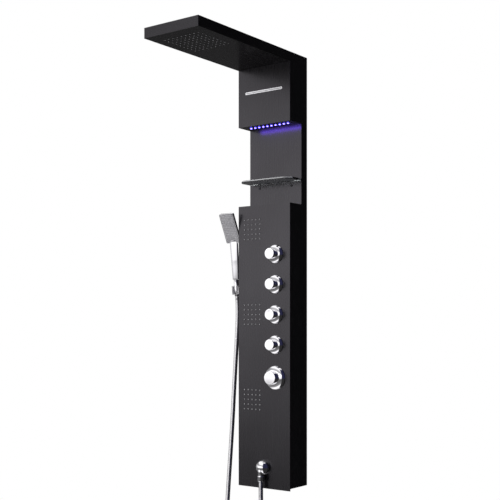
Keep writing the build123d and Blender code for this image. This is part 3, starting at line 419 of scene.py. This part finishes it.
FRONT = -0.092
VALVE_X = 0.044
valve_h = {"waterfall": 726.7, "rain": 633.5, "body_jet": 540.3, "handset": 447.1}
valve_dome = (curve_through([(30, 0), (30, 0.8), (29.6, 2.2), (28.9, 3.6), (27.9, 5.1), (26.6, 6.6), (25, 7.95), (23, 9.15),
                             (21, 10), (18, 10.9), (14, 11.6), (11.8, 11.95)])
              + [(11.4, 11.95), (11.2, 11.8), (11.2, 9.9), (14, 9.5), (18, 8.8), (21, 7.9), (23.5, 6.6), (25.6, 4.8),
                 (26.8, 2.6), (27.4, 0)])
mixer_dome = (curve_through([(38, 0), (38, 0.8), (37.6, 2.2), (36.9, 3.6), (35.9, 5.1), (34.6, 6.6), (33, 7.95), (31, 9.1),
                             (28.5, 10.2), (25, 11.3), (21.5, 12.0)])
              + [(18.6, 12.0), (18.4, 11.8), (18.4, 9.9), (21.5, 9.9), (25, 9.2), (28.5, 8.1), (31.3, 6.6), (33.4, 4.8),
                 (34.8, 2.6), (35.4, 0)])
geo = merge(*[ring_geo(mm(valve_dome), (VALVE_X, FRONT, H(z)), (0, -1, 0), 96) for z in valve_h.values()])
ob = add_mesh("valve_domes", *geo, sharp=40, material=M["chrome"])
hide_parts("valve_escutcheons")
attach(ob, "root")
ob = add_mesh("mixer_dome", *ring_geo(mm(mixer_dome), (VALVE_X, FRONT, H(345.2)), (0, -1, 0), 112), sharp=40, material=M["chrome"])
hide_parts("mixer_escutcheon")
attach(ob, "root")


def knob(name, body, node, height, cap, base, reach):
    """A turned knob: polished side, softly rounded cap with an engraved and filled index line."""
    lip = arc(cap - 1.4, reach - 1.4, 1.4, 1.4, 6, 84, 7)
    profile = ([(4.0, 26.4), (4.0, 12.6), (base - 0.5, 12.5), (base, 12.9)]
               + [(base + (cap - base) * t, 12.5 + (reach - 12.5) * t) for t in (0.15, 0.35, 0.6, 0.8, 0.93)]
               + lip + [(cap - 2.2, reach + 0.0), (cap * 0.6, reach + 0.12), (cap * 0.3, reach + 0.2), (0.6, reach + 0.22)])
    ob = add_mesh(name, *lathe_geo(mm(profile), (VALVE_X, FRONT, H(height)), (0, -1, 0), 96), sharp=30, material=M["chrome"])
    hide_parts(node)
    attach(ob, body)
    mark = Place((VALVE_X, FRONT - (reach + 0.02) / 1000, H(height) + (cap - 6.5) / 1000), (1, 0, 0), (0, -1, 0))
    loops = [[mark.at(x / 1000, y / 1000, z / 1000) for x, y in rounded_rect(w, w + 3.8, w / 2 - 0.01, 6)]
             for w, z in ((1.2, -0.3), (1.2, 0.06), (1.0, 0.14))]
    ob = add_mesh(name + "_index", *loops_geo(loops), sharp=40, material=M["abs"])
    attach(ob, body)


for key, z in valve_h.items():
    knob(key + "_knob_turned", key + "_valve", key + "_knob", z, 17.2, 15.0, 32.0)
knob("mixer_knob_turned", "mixer_valve", "mixer_knob", 345.2, 21.2, 20.6, 30.0)

# ------------------------------------------------------------------ hose outlet and its nut
dome = [(24, 0), (24, 2.4)] + arc(0, 3, 24, 22, 1.5, 89, 28)
spout = [(9.0, 0), (9.6, 1.0), (9.6, 22.6), (9.2, 23.6), (8.33, 24.0), (8.33, 31.6), (7.8, 32.0)]
geo = merge(lathe_geo(mm(dome), (0, FRONT, H(65)), (0, -1, 0), 96), lathe_geo(mm(spout), (0, FRONT - 0.015, H(65)), (0, 0, -1), 64),
            lathe_geo(mm([(10.4, 0), (10.4, -19.4), (9.8, -20)]), (0, FRONT, H(65)), (0, -1, 0), 48))
ob = add_mesh("hose_outlet", *geo, sharp=40, material=M["chrome"])
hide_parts("outlet_elbow")
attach(ob, "root")
nut = ([(8.5, 0.0), (9.9, 0.0), (10.4, 0.3), (10.6, 0.8), (10.6, 3.2), (10.15, 3.5), (10.15, 4.0), (10.6, 4.3), (10.6, 14.0)]
       + arc(8.6, 15.5, 2.0, 2.0, 0, 90, 8) + [(4.05, 17.5), (4.05, 8.2), (8.5, 8.2)])
nut_ob = add_mesh("hose_nut_turned", *ring_geo(mm(nut), (0, FRONT - 0.015, H(41)), (0, 0, -1), 72), sharp=40, material=M["chrome"])
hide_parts("hose_nut")
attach(nut_ob, "root")

# ------------------------------------------------------------------ handset
GRIP_LOW = Vector((-0.130, -0.0655, H(653.9)))
GRIP_DIR = Vector((0, -10.5, 100.0)).normalized()
grip = Place(GRIP_LOW, (1, 0, 0), GRIP_DIR)
cone = [(8.0, -54.0), (8.25, -53.5), (8.3, -53.0), (9.75, -23.0), (9.6, -22.4), (9.2, -22.1), (8.0, -22.0), (7.9, -21.6),
        (7.9, -1.6), (7.6, -1.1), (6.62, -1.0), (6.62, -34.2), (4.05, -34.2), (4.05, -54.0)]
cone_ob = add_mesh("hose_cone_turned", *ring_geo(mm(cone), GRIP_LOW, GRIP_DIR, 72), sharp=40, material=M["chrome"])
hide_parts("hose_cone")
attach(cone_ob, "handset")


def smooth_step(t):
    return t * t * (3 - 2 * t)


def handle_section(t):
    """Width, thickness and corner radius of the handle, t from the cone to the head."""
    k = t * 122
    if k < 60:
        f = smooth_step(k / 60)
        return 24 + 3 * f, 13 - 1.5 * f, 6.0 - 0.6 * f
    f = (k - 60) / 62
    return 27 + 4 * f, 11.5 - 2.5 * f, 5.4 - 1.6 * f


def handle_outline(w, d, r, crown=2.2):
    """Across the handle: flat back with round corners, and a crowned front."""
    pts = arc(w / 2 - r, d / 2 - r, r, r, 0, 90, 6) + arc(-w / 2 + r, d / 2 - r, r, r, 90, 180, 6)
    f = 2.4
    pts += arc(-w / 2 + f, -d / 2 + f, f, f, 180, 270, 6)
    pts += [(-w / 2 + f + (w - 2 * f) * k / 14, -d / 2) for k in range(1, 14)]
    pts += arc(w / 2 - f, -d / 2 + f, f, f, 270, 360, 6)
    return [(x, y + crown * (x / (w / 2)) ** 2 * min(1.0, max(0.0, -y / (d / 2 - f)))) for x, y in pts]


loops = []
for i in range(41):
    t = i / 40
    w, d, r = handle_section(t)
    r = min(r, d / 2 - 0.6)
    if i == 0:
        for shrink, rise_mm in ((0.8, 0.0), (0.25, 0.4), (0.0, 1.1)):
            loops.append([grip.at(x / 1000, y / 1000, rise_mm / 1000)
                          for x, y in handle_outline(w - 2 * shrink, d - 2 * shrink, r - shrink)])
        continue
    loops.append([grip.at(x / 1000, y / 1000, t * 0.122) for x, y in handle_outline(w, d, r)])
handle = loops_geo(loops)
neck = lathe_geo(mm([(6.2, -34.0), (6.5, -33.6), (6.5, 3.0)]), GRIP_LOW, GRIP_DIR, 48)
HEAD_W, HEAD_L, RIM = 56.0, 99.0, 2.0


def head_loop(inset, radius, z):
    return [head.at(x / 1000, (y + HEAD_L / 2) / 1000, z / 1000)
            for x, y in rounded_rect(HEAD_W - 2 * inset, HEAD_L - 2 * inset, radius, 10)]


shell = loops_geo([head_loop(RIM, 3.5, -4.0), head_loop(RIM, 3.5, -1.0), head_loop(RIM - 0.25, 3.7, -0.75),
                   head_loop(0.75, 4.5, -0.75), head_loop(0.3, 4.8, -0.9), head_loop(0.0, 5.0, -1.4)]
                  + [head_loop(0.0, 5.0, z) for z in (-4.0, -7.4)]
                  + [head_loop(2.5 - 2.5 * math.cos(math.radians(a)), max(5.0 - (2.5 - 2.5 * math.cos(math.radians(a))), 2.6),
                               -7.5 - 2.5 * math.sin(math.radians(a))) for a in (15, 35, 55, 75, 90)])
body = add_mesh("handset_shell", *merge(shell, handle, neck), sharp=32, material=M["chrome"])
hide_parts("handset_body")
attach(body, "handset")

# ------------------------------------------------------------------ hose
# the free hose's route, metres, from the cone under the handset to the nut under the outlet
hose_route = [
    (-0.130000, -0.059861, -0.049805), (-0.130000, -0.055475, -0.091575), (-0.131800, -0.058200, -0.170000),
    (-0.135000, -0.062800, -0.265000), (-0.137500, -0.068000, -0.360000), (-0.139500, -0.073500, -0.460000),
    (-0.142000, -0.080400, -0.560000), (-0.144800, -0.087500, -0.660000), (-0.147000, -0.093500, -0.760000),
    (-0.148500, -0.098200, -0.850000), (-0.149200, -0.101200, -0.918000), (-0.148600, -0.102800, -0.964000),
    (-0.127600, -0.104200, -1.001000), (-0.091000, -0.105400, -1.022000), (-0.048700, -0.106400, -1.022000),
    (-0.012200, -0.107400, -1.000500), (0.009000, -0.108400, -0.963600), (0.009400, -0.109000, -0.916000),
    (0.007600, -0.109200, -0.835000), (0.003800, -0.108600, -0.755000), (0.000800, -0.107600, -0.695000),
    (0.000000, -0.107000, -0.656000), (0.000000, -0.107000, -0.626500),
]


def spline_points(name, route, resolution=48):
    """The points of one open NURBS spline that has the route as its control points."""
    cu = bpy.data.curves.new(name, "CURVE")
    cu.dimensions = "3D"
    sp = cu.splines.new("NURBS")
    sp.points.add(len(route) - 1)
    for p, co in zip(sp.points, route):
        p.co = (*co, 1.0)
    sp.order_u = 3
    sp.use_endpoint_u = True
    sp.resolution_u = resolution
    ob = bpy.data.objects.new(name, cu)
    scene.collection.objects.link(ob)
    bpy.context.view_layer.update()
    dg = bpy.context.evaluated_depsgraph_get()
    me = bpy.data.meshes.new_from_object(ob.evaluated_get(dg))
    pts = [v.co.copy() for v in me.vertices]
    bpy.data.objects.remove(ob)
    bpy.data.curves.remove(cu)
    bpy.data.meshes.remove(me)
    return pts


def along(pts, step):
    """The same line, as evenly spaced points with their distances."""
    out, dist, total = [pts[0].copy()], [0.0], 0.0
    want = step
    for a, b in zip(pts, pts[1:]):
        seg = (b - a).length
        while seg > 1e-12 and total + seg >= want:
            out.append(a.lerp(b, (want - total) / seg))
            dist.append(want)
            want += step
        total += seg
    if total - dist[-1] > step * 0.2:
        out.append(pts[-1].copy())
        dist.append(total)
    return out, dist, total


def tube(name, pts, dist, radius, segs, material):
    """Skin round a line; radius is a function of the distance along it."""
    loops = []
    t0 = (pts[1] - pts[0]).normalized()
    u, v, _ = basis(t0)
    for i, p in enumerate(pts):
        a = pts[max(i - 1, 0)]
        b = pts[min(i + 1, len(pts) - 1)]
        t = (b - a).normalized()
        u = (u - t * u.dot(t)).normalized()
        v = t.cross(u)
        r = radius(dist[i])
        loops.append([p + (u * math.cos(2 * math.pi * k / segs) + v * math.sin(2 * math.pi * k / segs)) * r
                      for k in range(segs)])
    verts, faces = loops_geo(loops)
    return add_mesh(name, verts, faces, sharp=60, material=material)


hose_line = spline_points("hose_line", hose_route)
hose_pts, hose_dist, hose_len = along(hose_line, 0.0009)
PITCH = 0.0036


def hose_radius(s):
    x = (s / PITCH) % 1.0
    groove = 1.0 if x < 0.25 else 0.0
    return 0.0070 - 0.00035 * groove - 0.00005 * abs(x - 0.6)


hose = tube("shower_hose", hose_pts, hose_dist, hose_radius, 22, M["hose"])
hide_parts("hose_tube")
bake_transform(hose)

# ------------------------------------------------------------------ stage
def plane(name, corners, material, camera=True, shadow=True):
    me = bpy.data.meshes.new(name)
    me.from_pydata([Vector(c) for c in corners], [], [(0, 1, 2, 3)])
    me.uv_layers.new(name="uv")
    for i, uv in enumerate(((0, 0), (1, 0), (1, 1), (0, 1))):
        me.uv_layers[0].data[i].uv = uv
    ob = bpy.data.objects.new(name, me)
    scene.collection.objects.link(ob)
    me.materials.append(material)
    ob.visible_camera = camera
    ob.visible_shadow = shadow
    return ob


floor_mat, nt, b = new_mat("floor_pale")
n = noise_node(nt, coords(nt), 6.0, 2.0, 0.5)
nt.links.new(ramp(nt, n.outputs["Fac"], [(0.3, (0.80, 0.80, 0.80)), (0.7, (0.84, 0.84, 0.84))]), b.inputs["Base Color"])
b.inputs["Roughness"].default_value = 0.7
plane("floor", [(-2.2, -2.2, -1.36), (2.2, -2.2, -1.36), (2.2, 2.2, -1.36), (-2.2, 2.2, -1.36)], floor_mat).visible_glossy = False

world = bpy.data.worlds.new("world")
scene.world = world
world.use_nodes = True
bg = world.node_tree.nodes["Background"]
bg.inputs["Color"].default_value = (1.0, 1.0, 1.0, 1.0)
bg.inputs["Strength"].default_value = 1.0
scene.view_settings.view_transform = "Standard"
scene.view_settings.look = "None"


def between(table, x):
    """Straight-line look-up in a table of (x, value)."""
    if x <= table[0][0]:
        return table[0][1]
    for (xa, ya), (xb, yb) in zip(table, table[1:]):
        if x <= xb:
            t = (x - xa) / (xb - xa)
            return ya + (yb - ya) * t
    return table[-1][1]


# a studio dome: azimuth 0 is in front and 90 at the right; the front plates mirror about -36, the right side 144
rise = [(-90, 1.3), (-44, 1.3), (-34, 0.30), (-12, 0.12), (-9, 0.20), (-6.5, 0.60), (-4, 1.25), (-2, 1.60), (0, 1.35), (3, 1.10),
        (5, 2.0), (6.5, 2.5), (8, 2.0), (10, 1.65), (12, 2.1), (13.2, 1.2), (15, 0.65), (22, 0.50), (30, 0.70), (40, 1.3), (90, 1.3)]
lit = [(-180, 0.0), (-130, 0.0), (-110, 0.10), (-85, 0.22), (-61, 0.50), (-46, 0.92), (-36, 1.0), (14, 1.0), (22, 0.0), (180, 0.0)]
lit_high = [(-180, 0.6), (-150, 0.9), (-110, 1.0), (14, 1.0), (24, 0.0), (175, 0.0), (180, 0.6)]
unlit = [(-180, 0.05), (-170, 0.065), (-130, 0.065), (-95, 0.20), (-85, 0.20), (-10, 0.10), (20, 0.030), (165, 0.030), (180, 0.05)]


def sky(az, el):
    up = smooth_step(min(max((abs(el) - 26) / 12, 0), 1))
    k = between(lit, az) * (1 - up) + between(lit_high, az) * up
    value = k * between(rise, el) + (1 - k) * between(unlit, az)
    top = smooth_step(min(max((el - 58) / 14, 0), 1))
    value = value * (1 - top) + 1.2 * top
    dark = 1 - min(value / 0.3, 1)
    cool = dark * smooth_step(min(max((az + 20) / 30, 0), 1)) * smooth_step(min(max((el + 8) / 3.5, 0), 1)) if az < 120 else 0.0
    return (value * (1.0 - 0.2 * cool), value * (0.985 - 0.15 * cool), value * (1.0 + 1.2 * cool), 1.0)


dome_mat = bpy.data.materials.new("studio_dome")
dome_mat.use_nodes = True
nt = dome_mat.node_tree
nt.nodes.clear()
out = nt.nodes.new("ShaderNodeOutputMaterial")
em = nt.nodes.new("ShaderNodeEmission")
at = nt.nodes.new("ShaderNodeAttribute")
at.attribute_name = "light"
nt.links.new(at.outputs["Color"], em.inputs["Color"])
nt.links.new(em.outputs["Emission"], out.inputs["Surface"])
AZ, EL, DOME_R = 180, 90, 30.0
verts, tint = [], []
for j in range(EL + 1):
    el = -90 + 180 * j / EL
    for i in range(AZ):
        az = -180 + 360 * i / AZ
        a, e = math.radians(az), math.radians(el)
        verts.append((DOME_R * math.sin(a) * math.cos(e), -0.1 - DOME_R * math.cos(a) * math.cos(e), DOME_R * math.sin(e)))
        tint.append(sky(az, el))
faces = [(j * AZ + i, j * AZ + (i + 1) % AZ, (j + 1) * AZ + (i + 1) % AZ, (j + 1) * AZ + i) for j in range(EL) for i in range(AZ)]
me = bpy.data.meshes.new("studio_dome")
me.from_pydata(verts, [], faces)
layer = me.color_attributes.new(name="light", type="FLOAT_COLOR", domain="POINT")
for k, c in enumerate(tint):
    layer.data[k].color = c
dome_ob = bpy.data.objects.new("studio_dome", me)
scene.collection.objects.link(dome_ob)
me.materials.append(dome_mat)
dome_ob.visible_camera = False
dome_ob.visible_shadow = False

# violet light of the strip on the niche's back
led = bpy.data.lights.new("led_glow", "AREA")
led.shape = "RECTANGLE"
led.size, led.size_y = 0.16, 0.012
led.color = (0.20, 0.09, 1.0)
led.energy = 0.06
led_ob = bpy.data.objects.new("led_glow", led)
led_ob.location = (0.0, -0.062, 0.4795)
led_ob.rotation_euler = (math.radians(55), 0, 0)
led_ob.visible_camera = False
scene.collection.objects.link(led_ob)
